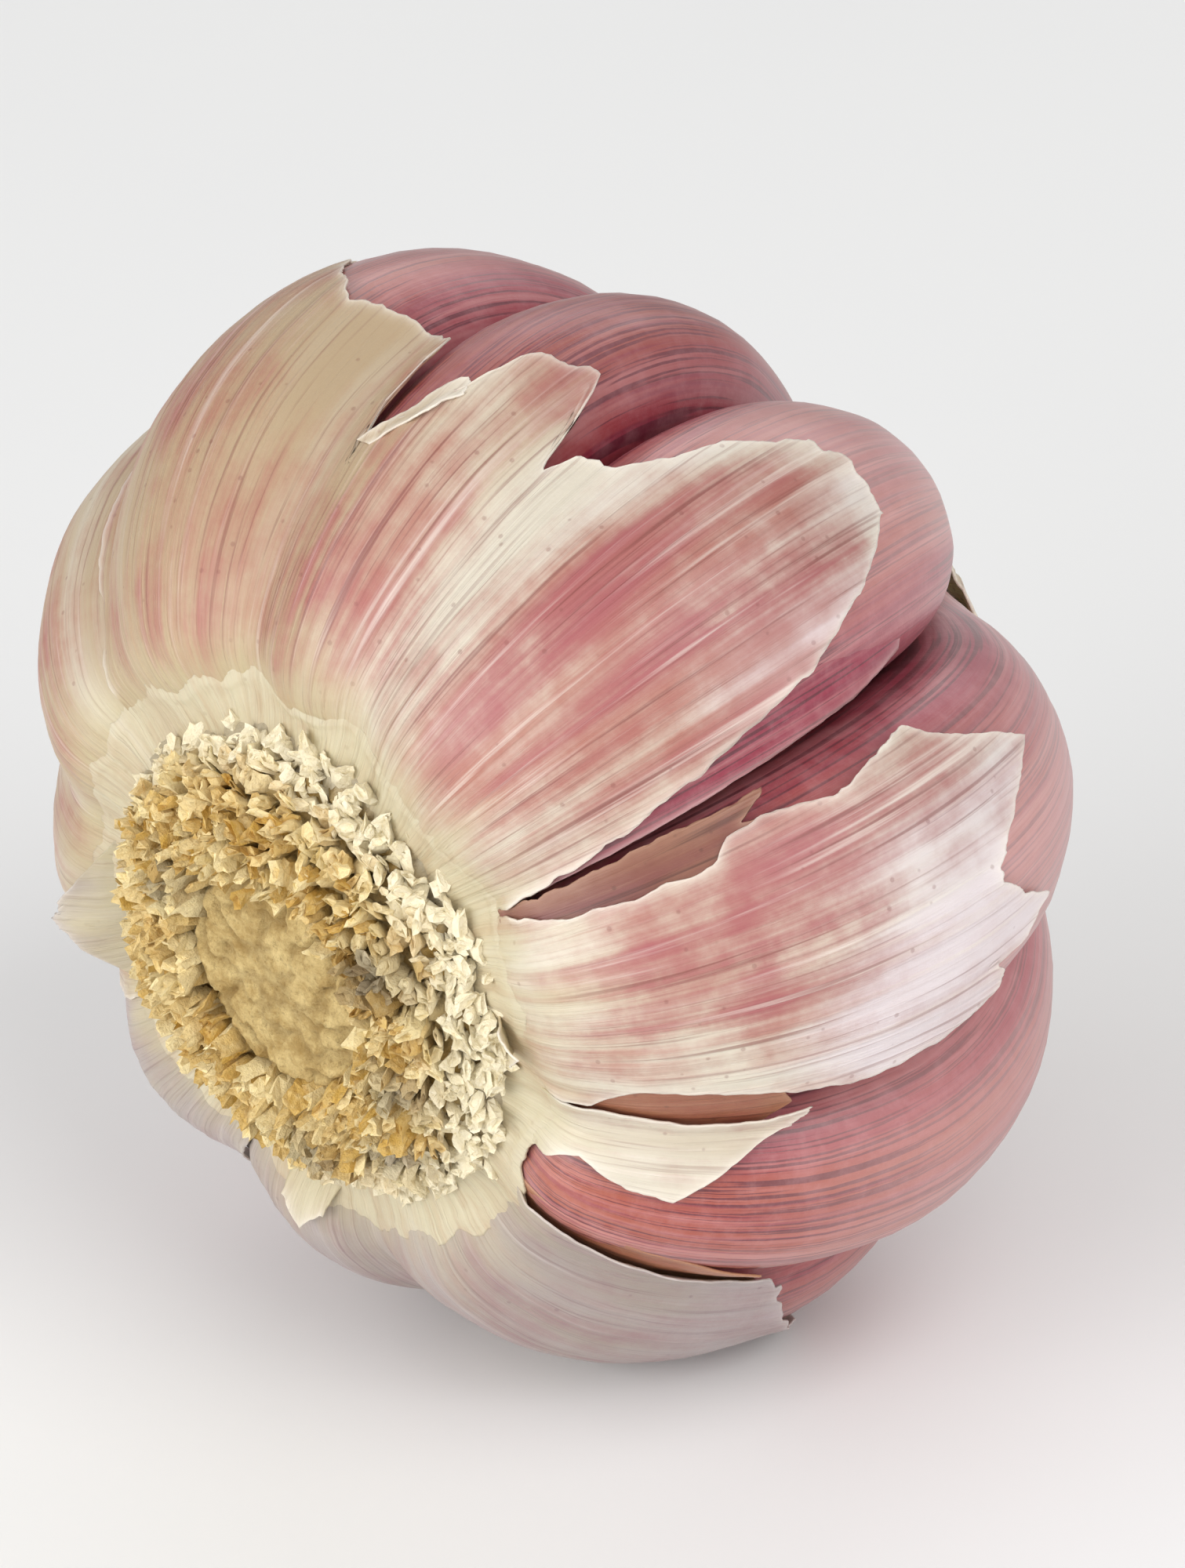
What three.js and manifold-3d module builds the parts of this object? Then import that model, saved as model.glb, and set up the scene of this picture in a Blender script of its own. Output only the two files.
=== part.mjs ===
// A hardneck garlic bulb that lies on its side. Cloves stand in one ring round a flower stalk, on a
// root plate with trimmed roots, and torn papery leaves wrap them. Millimetres, +Z up, at rest.
//
// Each piece is shaped in the bulb's own frame, with the stalk along the Z axis and the root end up.
// The whole bulb is then laid on its side, on the papery leaf over its two lowest cloves.

import * as THREE from "three";
import { mergeVertices } from "three/addons/utils/BufferGeometryUtils.js";
import Module from "manifold-3d";

const { degToRad, lerp, clamp } = THREE.MathUtils;
const WELD = 1e-4; // vertices closer than this are one

// ---- Driving dimensions ----

// The crest line of a clove, as [distance from the stalk's axis, height] from under the root plate,
// round the widest part, to the end of the neck. The bulb is 45 mm across its cloves.
const CREST = [
  [8.2, 9.2], [10.3, 11.3], [12.0, 12.8], [14.6, 12.8], [18.2, 10.2], [21.2, 5.8], [22.5, 0],
  [21.4, -5.6], [18.4, -10.2], [14.2, -13.4], [9.8, -15.8], [6.9, -17.4], [5.2, -18.9],
  [3.8, -20.2], [3.2, -21.5],
];
const CLOVE_TIP = 11.8; // "reach", counted in points of the crest line
const NECK_CUT = CREST.length - 1;

// Where each clove starts, in degrees round the stalk, and how far its crest stands out.
const CLOVES = [
  { from: 73.5, swell: 0.3 },
  { from: 113.5, swell: -0.5 },
  { from: 139.5, swell: 0.2 },
  { from: 179.5, swell: 0 },
  { from: 214.5, swell: -0.3 },
  { from: 248.5, swell: 0.1 },
  { from: 282.5, swell: -0.2 },
  { from: 315.5, swell: 0.2 },
  { from: 358.5, swell: 0 },
  { from: 391.5, swell: 0.4 },
];
const VALLEY_DEPTH = 4.3;
const CLOVE_GAP = 0.3;
const CLOVE_INNER_RADIUS = 4.5;
const CLOVE_INNER_SQUASH = 0.78; // height of a clove's inner line, as a share of its crest's
const CLOVE_ENDS = [0.9, 1.6]; // reach over which a clove rounds off sideways and inwards
const CLOVE_FACES = [18, 15]; // round a clove, and along it
const SWIRL = 12; // degrees that the clove tips turn round the stalk
const SWIRL_START = 7.6; // reach past the widest part
const BULGE_START = 0.7; // reach at which the valleys begin

const STALK_RADIUS = 2.6;
const STALK_TAPER = 0.94;
const STALK_SIDES = 16;
const STALK_TOP = 9.9;
const STALK_PROUD = 0.6; // how far the cut stalk stands out of the neck sheath

const PLATE_OUTLINE = [
  [0, 10.4], [8.6, 10.4], [10.2, 11.9], [10.8, 12.7], [10.5, 13.3], [9.4, 14.2], [7.6, 15.2],
  [5.6, 15.9], [4.6, 15.5], [4.0, 15.9], [0, 16.0],
];
const PLATE_SIDES = 32;
const ROOT_SLOPE = PLATE_OUTLINE.slice(3, 8).reverse(); // the part of the outline that roots stand on
const ROOT_COUNT = 92;
const ROOT_SIDES = 5;
const ROOT_SINK = 0.9;
const ROOT_RADIUS = 0.72;
const ROOT_TAPER = 0.7;
const ROOT_HEIGHT = [1.6, 2.4];
const ROOT_WIDTH = [0.75, 1.35]; // share of the radius, across the root
const ROOT_LEAN = [0.1, 0.75]; // outwards, in radians, at the inner and the outer roots
const ROOT_LEAN_SPREAD = 0.3;
const ROOT_TILT_SPREAD = 0.8;
const GOLDEN_ANGLE = 2.399963;
const ROOT_RING = [5.1, 10.2]; // where the roots stand, measured from the stalk's axis

const LEAF_GAP = 0.35; // between a papery leaf and the clove under it
const LEAF_THICKNESS = 0.65;
const LEAF_START = 1.95; // reach at which the leaves come out from the root plate
const LEAF_ROWS = 7;
const LEAF_CURL = 0.35; // how far a torn edge stands up from the leaf

const SHEATH_FACES = [36, 9]; // round the stalk, and along it
const HEM_REACH = 10.4; // where the sheath ends in a ragged hem on the shoulder
const HEM_WAVES = [[0.35, 5, 0], [0.25, 8, 40]]; // [height, count, phase in degrees]
const PLEAT_DEPTH = 0.25;
const PLEAT_COUNT = 9;

const SLOPE = 4; // degrees that the stalk slopes down towards the root plate
const ROLL_RANGE = [-60, -35]; // degrees round the stalk, between which the bulb is balanced
const ROLL_STEPS = 30;
const FLAT_DEPTH = 0.2; // how far the leaf is pressed flat where it touches the surface
const GROUND = [200, 200, 20]; // the block under the surface that cuts it flat

// Torn leaves. The sides are [reach, degrees] and the torn edge is [degrees, reach].
const LEAVES = [
  {
    name: "wrapper_leaf_1",
    columns: 40,
    low: [
      [2, 72.3], [3, 72.3], [3.8, 72.8], [4.5, 74.3], [5.3, 76.2], [5.8, 78.2], [6.25, 81.5], [6.6, 85],
      [6.8, 88],
    ],
    high: [[2, 178], [5, 177], [6.4, 178.5]],
    edge: [
      [88, 6.8], [95.5, 6.8], [99, 6.6], [101.5, 6.3], [104, 5.85], [107.5, 5.5], [112, 5.5],
      [113.5, 5.25], [116, 5.75], [118, 6.1], [121.5, 6], [125, 5.5], [127.5, 5.1], [133, 4.7],
      [134.5, 4.6], [135, 5.8], [148, 5.85], [156, 6.2], [164, 6.7], [171, 6.3], [178, 6.5],
    ],
  },
  {
    name: "wrapper_leaf_2",
    columns: 26,
    low: [[2, 181], [4, 181.5], [6, 183]],
    high: [[2, 247], [4, 248], [5.6, 246]],
    edge: [
      [183, 6.2], [188, 6.4], [195, 5.7], [203, 6.6], [210, 6.1], [218, 7.0], [225, 6.6], [231, 5.7],
      [238, 6.1], [246, 5.2],
    ],
  },
  {
    name: "wrapper_leaf_3",
    columns: 13,
    low: [[2, 250], [3.5, 251], [5, 256]],
    high: [[2, 281.5], [3.5, 280], [4.6, 282]],
    edge: [[256, 4.9], [260, 5.3], [266, 4.3], [271, 4.6], [276, 4.0], [282, 4.5]],
  },
  {
    name: "wrapper_leaf_4",
    columns: 34,
    low: [[2, 284.5], [4, 283.5], [6, 286]],
    high: [[2, 371], [2.9, 369], [3.6, 364], [4.3, 360.5], [5, 358], [5.2, 354]],
    edge: [
      [286, 6.3], [292, 6.8], [299, 6.5], [306, 7.1], [312, 6.4], [317, 6.6], [325, 7.2], [334, 6.7],
      [341, 6.8], [347, 6.0], [354, 5.2],
    ],
  },
  {
    name: "wrapper_leaf_5",
    columns: 8,
    low: [[2, 23], [2.9, 26], [3.4, 22.5], [3.8, 22], [4.1, 25.5], [4.4, 29], [4.6, 31]],
    high: [[2, 35.4], [3, 35.2], [3.4, 34.2], [3.8, 33.2], [4.4, 33], [4.8, 34]],
    edge: [[31, 4.6], [34, 4.8]],
  },
  {
    name: "wrapper_leaf_6",
    columns: 20,
    low: [[2, 36.8], [3, 37], [3.5, 41], [4.1, 40], [4.7, 38], [5.2, 37], [5.7, 38], [6.1, 39.5]],
    high: [[2, 70.5], [2.5, 70.3], [3.2, 68], [4.5, 67], [4.7, 69.2], [5.4, 68], [6.1, 70]],
    edge: [
      [39.5, 6.1], [43.5, 6.25], [46.5, 6.8], [52, 6.25], [55.5, 6.35], [60, 6.85], [62, 7.1], [67, 6.4],
      [70, 6.1],
    ],
  },
];

// ---- Surfaces of the bulb ----

const crestCurve = new THREE.SplineCurve(CREST.map(([r, z]) => new THREE.Vector2(r, z)));

// The crest line at a reach, with its outward normal.
function crestAt(reach) {
  const share = clamp(reach / NECK_CUT, 0, 1);
  const tangent = crestCurve.getTangent(share);
  return { point: crestCurve.getPoint(share), normal: new THREE.Vector2(-tangent.y, tangent.x) };
}

// Grows from 0 at the start of a clove to 1, over a length in reach, and falls to 0 at its tip.
function roundedEnds(reach, length) {
  const room = Math.min(reach, CLOVE_TIP - reach, length) / length;
  return Math.sqrt(Math.max(0, 1 - (1 - room) ** 2));
}

// How deep the valleys between the cloves are at a reach, and how much of a clove's swell shows.
function bulge(reach) {
  return Math.sin(Math.PI * clamp((reach - BULGE_START) / (CLOVE_TIP - BULGE_START), 0, 1)) ** 0.7;
}

// A point of the bulb, from its distance to the axis and height, its azimuth and its reach.
function aroundStalk({ x: radius, y: height }, degrees, reach) {
  const swirl = SWIRL * clamp((reach - SWIRL_START) / (CLOVE_TIP - SWIRL_START), 0, 1) ** 2;
  const angle = degToRad(degrees + swirl);
  return new THREE.Vector3(radius * Math.cos(angle), radius * Math.sin(angle), height);
}

// The clove under an azimuth, and how far towards its side the azimuth lies, from -1 to 1.
function cloveAt(degrees) {
  const first = CLOVES[0].from;
  const turned = first + THREE.MathUtils.euclideanModulo(degrees - first, 360);
  const number = CLOVES.findLastIndex((clove) => clove.from <= turned);
  const clove = CLOVES[number];
  const to = number + 1 < CLOVES.length ? CLOVES[number + 1].from : first + 360;
  return { clove, across: (2 * (turned - clove.from)) / (to - clove.from) - 1 };
}

// A point over the cloves, where a papery leaf lies: it spans the valleys in a shallow curve.
function overCloves(degrees, reach, lift) {
  const { clove, across } = cloveAt(degrees);
  const { point, normal } = crestAt(reach);
  const swell = clove.swell * bulge(reach) * (1 - across ** 4);
  const sag = VALLEY_DEPTH * bulge(reach) * (across ** 2 / 2 - across ** 8 / 8);
  return aroundStalk(point.addScaledVector(normal, swell - sag + lift), degrees, reach);
}

// ---- Shapes ----

// Leaves a geometry with positions only, and one vertex where several meet.
function weld(geometry) {
  geometry.deleteAttribute("normal");
  geometry.deleteAttribute("uv");
  return mergeVertices(geometry, WELD);
}

// Calls move(point, u, v) on each vertex of a geometry, with its texture coordinates.
function reshape(geometry, move) {
  const { position, uv } = geometry.attributes;
  for (let i = 0; i < position.count; i += 1) {
    const point = move(uv.getX(i), uv.getY(i));
    position.setXYZ(i, point.x, point.y, point.z);
  }
  return geometry;
}

// One clove: rounded outside, flat against its neighbours, narrow towards the stalk.
function cloveGeometry(from, to, swell) {
  const middle = (from + to) / 2;
  const place = (u, v) => {
    const reach = CLOVE_TIP * (1 - v + (0.6 * Math.sin(2 * Math.PI * v)) / (2 * Math.PI));
    const turn = 2 * Math.PI * u;
    const depth = VALLEY_DEPTH * bulge(reach);
    const { point, normal } = crestAt(reach);
    const valley = point.clone().addScaledVector(normal, -depth);
    const facing = Math.cos(turn);
    let side = Math.sin(turn);
    if (facing > 0) {
      valley.addScaledVector(normal, facing * (depth + swell * bulge(reach)));
    } else {
      const inner = new THREE.Vector2(CLOVE_INNER_RADIUS, CLOVE_INNER_SQUASH * point.y);
      valley.lerp(inner, (-facing) ** 0.8 * roundedEnds(reach, CLOVE_ENDS[1]));
      side = Math.sign(side) * Math.abs(side) ** 0.5;
    }
    const halfWidth = (to - from) / 2 - THREE.MathUtils.radToDeg(CLOVE_GAP / 2 / valley.x);
    return aroundStalk(valley, middle + side * halfWidth * roundedEnds(reach, CLOVE_ENDS[0]), reach);
  };
  return weld(reshape(new THREE.SphereGeometry(1, ...CLOVE_FACES), place));
}

// A thin sheet with two faces, split into triangles alike. place(u, v, outer) gives its points, with u
// running round the stalk and v from the neck side to the root side.
function sheetGeometry(columns, rows, isTube, place) {
  const faces = [1, 0].map((outer) =>
    reshape(new THREE.PlaneGeometry(1, 1, columns, rows), (u, v) => place(u, v, outer)),
  );
  const across = columns + 1;
  const inner = across * (rows + 1);
  const grid = Array.from(faces[0].index.array);
  const triangles = [...grid, ...grid.map((corner) => corner + inner).reverse()];
  const wall = (p, q) => triangles.push(q, p, p + inner, q, p + inner, q + inner);
  for (let x = 0; x < columns; x += 1) {
    wall(x + 1, x);
    wall(x + across * rows, x + 1 + across * rows);
  }
  for (let y = 0; y < rows && !isTube; y += 1) {
    wall(across * y, across * (y + 1));
    wall(across * (y + 1) + columns, across * y + columns);
  }
  const sheet = new THREE.BufferGeometry();
  const points = faces.flatMap((face) => Array.from(face.attributes.position.array));
  sheet.setAttribute("position", new THREE.Float32BufferAttribute(points, 3));
  sheet.setIndex(triangles);
  return mergeVertices(sheet, WELD);
}

// The value of a broken line, given as [place, value], at a place on it.
function follow(line, place) {
  const found = line.findIndex(([at]) => at >= place);
  const next = found < 0 ? line.length - 1 : Math.max(1, found);
  const [[x0, y0], [x1, y1]] = line.slice(next - 1, next + 1);
  return lerp(y0, y1, clamp((place - x0) / (x1 - x0), 0, 1));
}

// A torn leaf, from the root plate to its torn edge, which stands a little off the cloves.
function leafGeometry({ columns, low, high, edge }) {
  const shares = edge.map(([degrees, reach]) => {
    const start = follow(low, reach);
    return [(degrees - start) / (follow(high, reach) - start), reach];
  });
  return sheetGeometry(columns, LEAF_ROWS, false, (u, v, outer) => {
    const reach = lerp(follow(shares, u), LEAF_START, v);
    const degrees = lerp(follow(low, reach), follow(high, reach), u);
    const curl = LEAF_CURL * (1 - v) ** 4;
    return overCloves(degrees, reach, LEAF_GAP + curl + outer * LEAF_THICKNESS);
  });
}

// The gathered leaf ends round the stalk: pleated, ragged at the shoulder, cut at the neck.
function sheathGeometry() {
  return sheetGeometry(...SHEATH_FACES, true, (u, v, outer) => {
    const degrees = 360 * u;
    const wave = ([height, count, phase]) => height * Math.sin(degToRad(degrees * count + phase));
    const hem = HEM_WAVES.reduce((sum, part) => sum + wave(part), HEM_REACH);
    const reach = lerp(NECK_CUT, hem, v);
    const pleat = wave([PLEAT_DEPTH, PLEAT_COUNT, 0]) * (1 - v);
    return overCloves(degrees, reach, LEAF_GAP + (outer ? LEAF_THICKNESS + Math.max(0, pleat) : 0));
  });
}

function stalkGeometry() {
  const bottom = CREST.at(-1)[1] - STALK_PROUD;
  const tip = STALK_RADIUS * STALK_TAPER;
  const stalk = new THREE.CylinderGeometry(STALK_RADIUS, tip, STALK_TOP - bottom, STALK_SIDES);
  stalk.rotateX(Math.PI / 2);
  stalk.translate(0, 0, (STALK_TOP + bottom) / 2);
  return weld(stalk);
}

// ---- Joining and cutting ----

const wasm = await Module();
wasm.setup();

function toSolid(geometry) {
  const vertProperties = new Float32Array(geometry.attributes.position.array);
  const triVerts = new Uint32Array(geometry.index.array);
  return new wasm.Manifold(new wasm.Mesh({ numProp: 3, vertProperties, triVerts }));
}

function toGeometry(solid) {
  const { vertProperties, triVerts } = solid.getMesh();
  const geometry = new THREE.BufferGeometry();
  geometry.setAttribute("position", new THREE.BufferAttribute(vertProperties, 3));
  geometry.setIndex(new THREE.BufferAttribute(triVerts, 1));
  return geometry;
}

// Numbers from 0 to 1 that are the same on every run.
function seededRandom(seed) {
  let state = seed;
  return () => {
    state = (state * 1664525 + 1013904223) % 4294967296;
    return state / 4294967296;
  };
}

// The root plate, with trimmed roots set in a spiral over all but its flat middle.
function plateGeometry() {
  const outline = PLATE_OUTLINE.map(([r, z]) => new THREE.Vector2(r, z));
  const random = seededRandom(7);
  let plate = toSolid(weld(new THREE.LatheGeometry(outline, PLATE_SIDES).rotateX(Math.PI / 2)));
  const [ringIn, ringOut] = ROOT_RING;
  for (let i = 0; i < ROOT_COUNT; i += 1) {
    const share = (i + 0.5) / ROOT_COUNT;
    const radius = Math.sqrt(lerp(ringIn ** 2, ringOut ** 2, share));
    const height = lerp(...ROOT_HEIGHT, random());
    const outward = lerp(...ROOT_LEAN, share) + ROOT_LEAN_SPREAD * (random() - 0.5);
    const root = new THREE.CylinderGeometry(ROOT_RADIUS * ROOT_TAPER, ROOT_RADIUS, height, ROOT_SIDES);
    root.scale(lerp(...ROOT_WIDTH, random()), 1, 1);
    root.translate(0, height / 2 - ROOT_SINK, 0);
    root.rotateX(Math.PI / 2);
    root.rotateY(outward);
    root.rotateZ(ROOT_TILT_SPREAD * (random() - 0.5));
    root.translate(radius, 0, follow(ROOT_SLOPE, radius));
    root.rotateZ(i * GOLDEN_ANGLE);
    plate = plate.add(toSolid(weld(root)));
  }
  return toGeometry(plate);
}

// ---- Assembly ----

function makeMesh(name, geometry, color, roughness) {
  const material = new THREE.MeshStandardMaterial({ color, roughness, metalness: 0 });
  const mesh = new THREE.Mesh(geometry, material);
  mesh.name = name;
  return mesh;
}

const cloves = CLOVES.map(({ from, swell }, i) => {
  const to = i + 1 < CLOVES.length ? CLOVES[i + 1].from : CLOVES[0].from + 360;
  const name = `clove_${String(i + 1).padStart(2, "0")}`;
  return makeMesh(name, cloveGeometry(from, to, swell), "#b0566a", 0.45);
});
const leaves = LEAVES.map((leaf) => makeMesh(leaf.name, leafGeometry(leaf), "#e6dfcb", 0.6));
const sheath = makeMesh("neck_sheath", sheathGeometry(), "#e4dac2", 0.7);
const stalk = makeMesh("flower_stalk", stalkGeometry(), "#d9cfa8", 0.7);
const plate = makeMesh("root_plate", plateGeometry(), "#cda95a", 0.9);

const bulb = new THREE.Group();
bulb.add(...cloves, ...leaves, sheath, stalk, plate);
const lying = new THREE.Group();
lying.add(bulb);
lying.rotation.x = degToRad(90 + SLOPE);

function extentOf(object) {
  object.updateWorldMatrix(true, true);
  return new THREE.Box3().setFromObject(object, true);
}

// Roll the bulb about its stalk until its two lowest cloves are equally low.
const [before, after] = [cloves[6], cloves[7]];
let [least, most] = ROLL_RANGE;
for (let i = 0; i < ROLL_STEPS; i += 1) {
  const roll = (least + most) / 2;
  bulb.rotation.z = degToRad(roll);
  if (extentOf(before).min.z < extentOf(after).min.z) most = roll;
  else least = roll;
}

// Set it down, with the middle of its bounding box over the origin, and press its lowest spots flat.
const extent = extentOf(lying);
const middle = extent.getCenter(new THREE.Vector3());
lying.position.set(-middle.x, -middle.y, -extent.min.z - FLAT_DEPTH);
const ground = new THREE.BoxGeometry(...GROUND).translate(0, 0, -GROUND[2] / 2);
bulb.updateWorldMatrix(true, false);
ground.applyMatrix4(bulb.matrixWorld.clone().invert());
const groundSolid = toSolid(weld(ground));
for (const leaf of leaves) {
  if (extentOf(leaf).min.z < 0) {
    leaf.geometry = toGeometry(toSolid(leaf.geometry).subtract(groundSolid));
  }
}

export default lying;
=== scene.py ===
"""A hardneck garlic bulb lying on its side: bare pink cloves, torn papery leaves, a root plate with
dry trimmed roots, and a short cut neck. Each piece is shaped round the stalk, in millimetres, and
is then laid down with the whole bulb."""

import math
import random

import bmesh
import bpy
from mathutils import Matrix, Vector, noise


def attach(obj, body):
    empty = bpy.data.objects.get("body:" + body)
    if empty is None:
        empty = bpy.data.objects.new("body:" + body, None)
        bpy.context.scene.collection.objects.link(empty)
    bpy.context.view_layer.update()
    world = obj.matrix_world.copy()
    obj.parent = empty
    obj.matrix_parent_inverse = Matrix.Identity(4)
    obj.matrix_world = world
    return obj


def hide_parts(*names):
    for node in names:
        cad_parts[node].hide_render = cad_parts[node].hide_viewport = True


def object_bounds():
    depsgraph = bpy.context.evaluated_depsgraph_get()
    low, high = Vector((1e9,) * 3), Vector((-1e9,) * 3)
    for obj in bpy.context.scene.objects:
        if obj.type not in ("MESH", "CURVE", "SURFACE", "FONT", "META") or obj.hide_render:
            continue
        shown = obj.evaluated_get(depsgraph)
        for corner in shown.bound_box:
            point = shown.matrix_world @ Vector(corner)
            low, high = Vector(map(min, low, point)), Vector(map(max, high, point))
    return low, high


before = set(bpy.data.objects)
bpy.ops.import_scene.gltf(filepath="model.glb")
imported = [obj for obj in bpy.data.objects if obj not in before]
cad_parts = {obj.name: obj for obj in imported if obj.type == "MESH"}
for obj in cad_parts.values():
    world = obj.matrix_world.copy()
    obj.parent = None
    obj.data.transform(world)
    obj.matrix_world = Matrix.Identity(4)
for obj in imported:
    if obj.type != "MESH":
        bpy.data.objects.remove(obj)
solid_low, solid_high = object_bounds()

# ---- Driving dimensions, as in the solids ----

# The crest line of a clove, as (distance from the stalk's axis, height), from under the root plate
# to the end of the neck. "Reach" is counted in points of this line.
CREST = [
    (8.2, 9.2), (10.3, 11.3), (12.0, 12.8), (14.6, 12.8), (18.2, 10.2), (21.2, 5.8), (22.5, 0),
    (21.4, -5.6), (18.4, -10.2), (14.2, -13.4), (9.8, -15.8), (6.9, -17.4), (5.2, -18.9),
    (3.8, -20.2), (3.2, -21.5),
]
CLOVE_TIP = 11.8  # reach at which a clove ends
NECK_CUT = len(CREST) - 1
# Where each clove starts, in degrees round the stalk, and how far its crest stands out.
CLOVES = [
    (73.5, 0.3), (113.5, -0.5), (139.5, 0.2), (179.5, 0.0), (214.5, -0.3),
    (248.5, 0.1), (282.5, -0.2), (315.5, 0.2), (358.5, 0.0), (391.5, 0.4),
]
VALLEY_DEPTH = 4.3
CLOVE_GAP = 0.3
CLOVE_INNER_RADIUS = 4.5
CLOVE_INNER_SQUASH = 0.78  # height of a clove's inner line, as a share of its crest's
CLOVE_ENDS = (0.9, 1.6)  # reach over which a clove's width and its depth round off at its ends
SWIRL = 12.0  # degrees that the cloves turn towards the neck
SWIRL_START = 7.6
BULGE_START = 0.7
STALK_RADIUS = 2.6
STALK_TAPER = 0.94
STALK_TOP = 9.9
STALK_PROUD = 0.6

# How the bulb lies: its axis off level, its turn round the axis, and its place.
SLOPE = 4.0
ROLL = -45.024
SET_DOWN = Vector((-0.272, -2.345, 22.531))
LAYING = (
    Matrix.Translation(SET_DOWN)
    @ Matrix.Rotation(math.radians(90 + SLOPE), 4, "X")
    @ Matrix.Rotation(math.radians(ROLL), 4, "Z")
)
MM = 0.001

# ---- Numbers ----


def lerp(a, b, share):
    return a + (b - a) * share


def clamp(value, low=0.0, high=1.0):
    return max(low, min(high, value))


def ease(low, high, value):
    share = clamp((value - low) / (high - low))
    return share * share * (3 - 2 * share)


def follow(line, place):
    """The value of a broken line, given as (place, value), at a place on it."""
    for (x0, y0), (x1, y1) in zip(line, line[1:]):
        if place <= x1:
            return lerp(y0, y1, clamp((place - x0) / (x1 - x0)))
    return line[-1][1]


def ripple(x, y=0.0, z=0.0, octaves=4):
    """Smooth noise, about -1 to 1."""
    return noise.fractal(Vector((x, y, z)), 1.0, 2.1, octaves)


def ring_noise(degrees, count, seed, octaves=4):
    """Noise that closes on itself round the stalk, with about this many waves."""
    angle = math.radians(degrees)
    size = count / (2 * math.pi)
    return ripple(math.cos(angle) * size + seed, math.sin(angle) * size, seed, octaves)


def nearest(degrees):
    """The same azimuth, between -180 and 180."""
    return (degrees + 180) % 360 - 180


def hump(away, width):
    """1 at no distance, and falling off smoothly on both sides."""
    return math.exp(-((away / width) ** 2))


# ---- Surfaces of the bulb ----


def crest_at(reach):
    """The crest line at a reach, with its outward normal."""
    reach = clamp(reach, 0, NECK_CUT)
    i = min(int(reach), NECK_CUT - 1)
    t = reach - i
    p0, p1, p2, p3 = (Vector(CREST[clamp(i + k, 0, NECK_CUT)]) for k in (-1, 0, 1, 2))
    v0, v1 = (p2 - p0) / 2, (p3 - p1) / 2
    a = 2 * p1 - 2 * p2 + v0 + v1
    b = -3 * p1 + 3 * p2 - 2 * v0 - v1
    point = a * t**3 + b * t**2 + v0 * t + p1
    tangent = (3 * a * t**2 + 2 * b * t + v0).normalized()
    return point, Vector((-tangent.y, tangent.x))


def rounded_ends(reach, length):
    """0 at both ends of a clove, 1 from this far in, and round between."""
    room = min(reach, CLOVE_TIP - reach, length) / length
    return math.sqrt(max(0.0, 1 - (1 - room) ** 2))


def bulge(reach):
    """How far a clove bulges out of the ring: 0 at its ends, 1 at its middle."""
    return math.sin(math.pi * clamp((reach - BULGE_START) / (CLOVE_TIP - BULGE_START))) ** 0.7


def around_stalk(section, degrees, reach):
    """A point of the bulb from its distance to the axis and its height."""
    turned = degrees + SWIRL * clamp((reach - SWIRL_START) / (CLOVE_TIP - SWIRL_START)) ** 2
    angle = math.radians(turned)
    return Vector((section.x * math.cos(angle), section.x * math.sin(angle), section.y))


def clove_at(degrees):
    """Swell of the clove under an azimuth, and how far to its side the azimuth lies, -1 to 1."""
    first = CLOVES[0][0]
    turned = first + (degrees - first) % 360
    number = max(i for i, (start, _) in enumerate(CLOVES) if start <= turned)
    start, swell = CLOVES[number]
    end = CLOVES[number + 1][0] if number + 1 < len(CLOVES) else first + 360
    return swell, 2 * (turned - start) / (end - start) - 1


def over_cloves(degrees, reach, lift):
    """A point over the cloves, where a papery leaf lies: it spans the valleys in a shallow curve."""
    swell, across = clove_at(degrees)
    point, normal = crest_at(reach)
    round_off = bulge(reach)
    sag = VALLEY_DEPTH * round_off * (across**2 / 2 - across**8 / 8)
    out = swell * round_off * (1 - across**4) - sag + lift
    return around_stalk(point + normal * out, degrees, reach)


def grain_at(degrees, reach):
    """Pattern coordinates that run along the leaves and cloves, from the plate to the neck."""
    angle = math.radians(degrees)
    return Vector((math.cos(angle), math.sin(angle), reach / 10))


# ---- Pieces ----

SAME_PLACE = 1e-4  # vertices closer than this are merged

def add_piece(bm, name, material, nodes=(), smooth=True):
    """Lays a shape down with the bulb and makes it a finished piece."""
    bmesh.ops.transform(bm, matrix=LAYING, verts=bm.verts)
    for vert in bm.verts:
        vert.co.z = max(vert.co.z, 0.0)
    bmesh.ops.scale(bm, vec=(MM, MM, MM), verts=bm.verts)
    mesh = bpy.data.meshes.new(name)
    bm.to_mesh(mesh)
    bm.free()
    if smooth:
        mesh.shade_smooth()
    mesh.materials.append(material)
    piece = bpy.data.objects.new(name, mesh)
    bpy.context.scene.collection.objects.link(piece)
    if nodes:
        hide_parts(*nodes)
    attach(piece, "root")
    return piece


def add_layers(bm):
    """Vertex layers that the materials read: the grain, and three washes of colour, painted shade and
    highlights among them.
    """
    return bm.verts.layers.float_vector.new("grain"), bm.verts.layers.float_vector.new("wash")


def face_outwards(bm):
    """Makes a sheet's normals agree, and point away from the stalk at its end by the neck."""
    bmesh.ops.recalc_face_normals(bm, faces=bm.faces)
    lowest = min(bm.faces, key=lambda face: face.calc_center_median().z)
    center = lowest.calc_center_median()
    if lowest.normal.dot(Vector((center.x, center.y, 0))) < 0:
        bmesh.ops.reverse_faces(bm, faces=bm.faces)


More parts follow.
